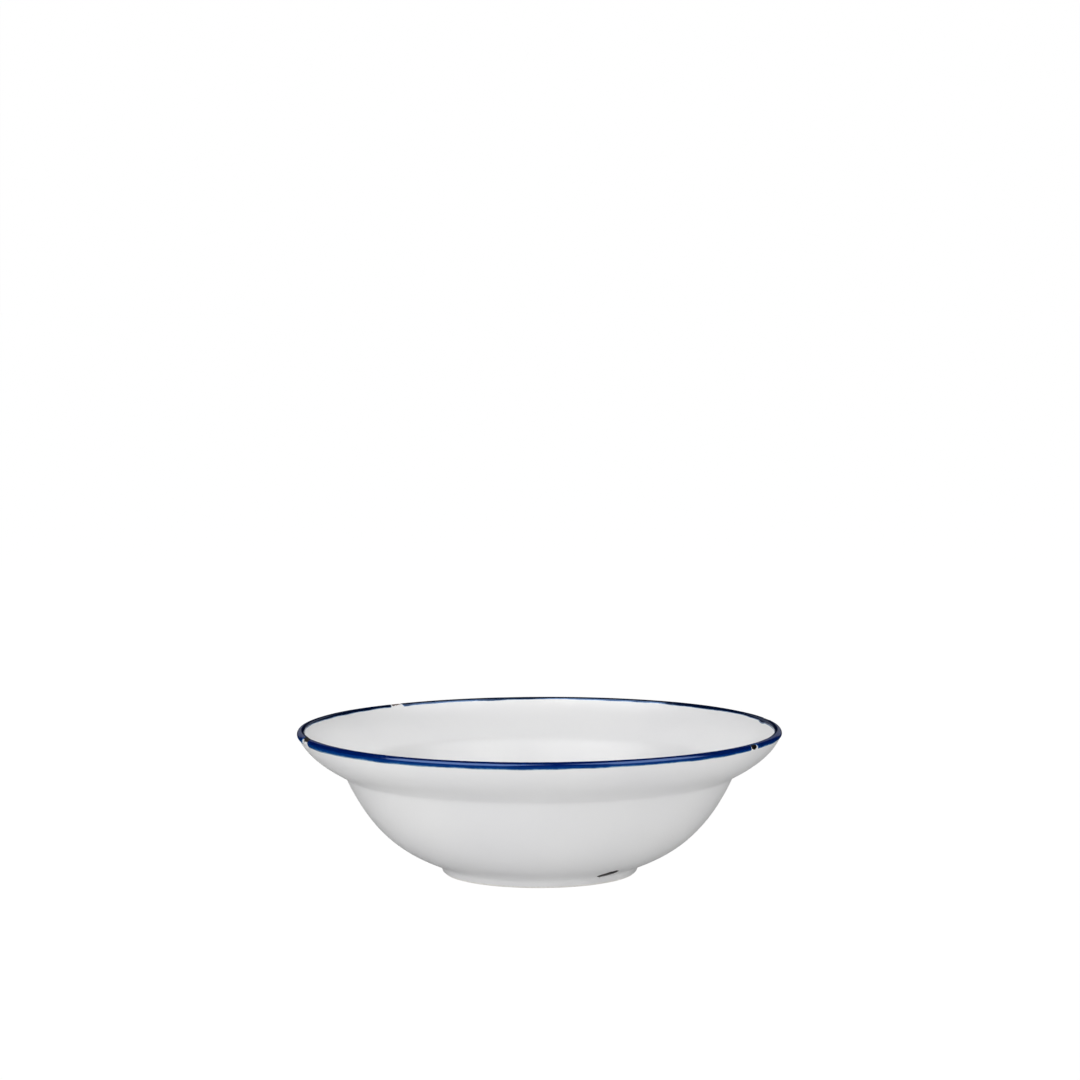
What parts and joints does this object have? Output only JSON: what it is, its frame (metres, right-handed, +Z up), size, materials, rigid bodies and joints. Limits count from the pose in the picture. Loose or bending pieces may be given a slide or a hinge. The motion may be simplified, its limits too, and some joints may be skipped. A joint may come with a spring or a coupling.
{
  "type": "low bowl",
  "caption": "Round low bowl of white glazed stoneware with a flared flange, a stepped shoulder, a foot ring and a blue rim band broken by brown chip marks.",
  "frame": {"origin": "centre of the circle that the foot ring stands on", "axes": "+Z up along the turning axis; -Y is the front, +X the right"},
  "size_m": [0.23, 0.23, 0.069],
  "materials": {
    "bare_clay": "fired clay without glaze, fine and matt, bare only on the standing edge",
    "white_glaze": "smooth off-white glaze with a soft satin gloss",
    "blue_glaze": "glossy cobalt blue, streaked, paler where it thins out along its edges",
    "brown_glaze": "mottled dark brown, rough and half matt, like rust in a chip"
  },
  "bodies": {
    "root": {"clay_body": "bare_clay", "base_glaze": "white_glaze", "outside_glaze": "white_glaze", "inside_glaze": "white_glaze", "rim_band_1": "blue_glaze", "rim_band_2": "blue_glaze", "chip_front_right": "brown_glaze", "chip_right": "brown_glaze", "chip_back_left": "brown_glaze", "chip_left": "brown_glaze", "chip_foot": "brown_glaze"}
  },
  "joints": []
}
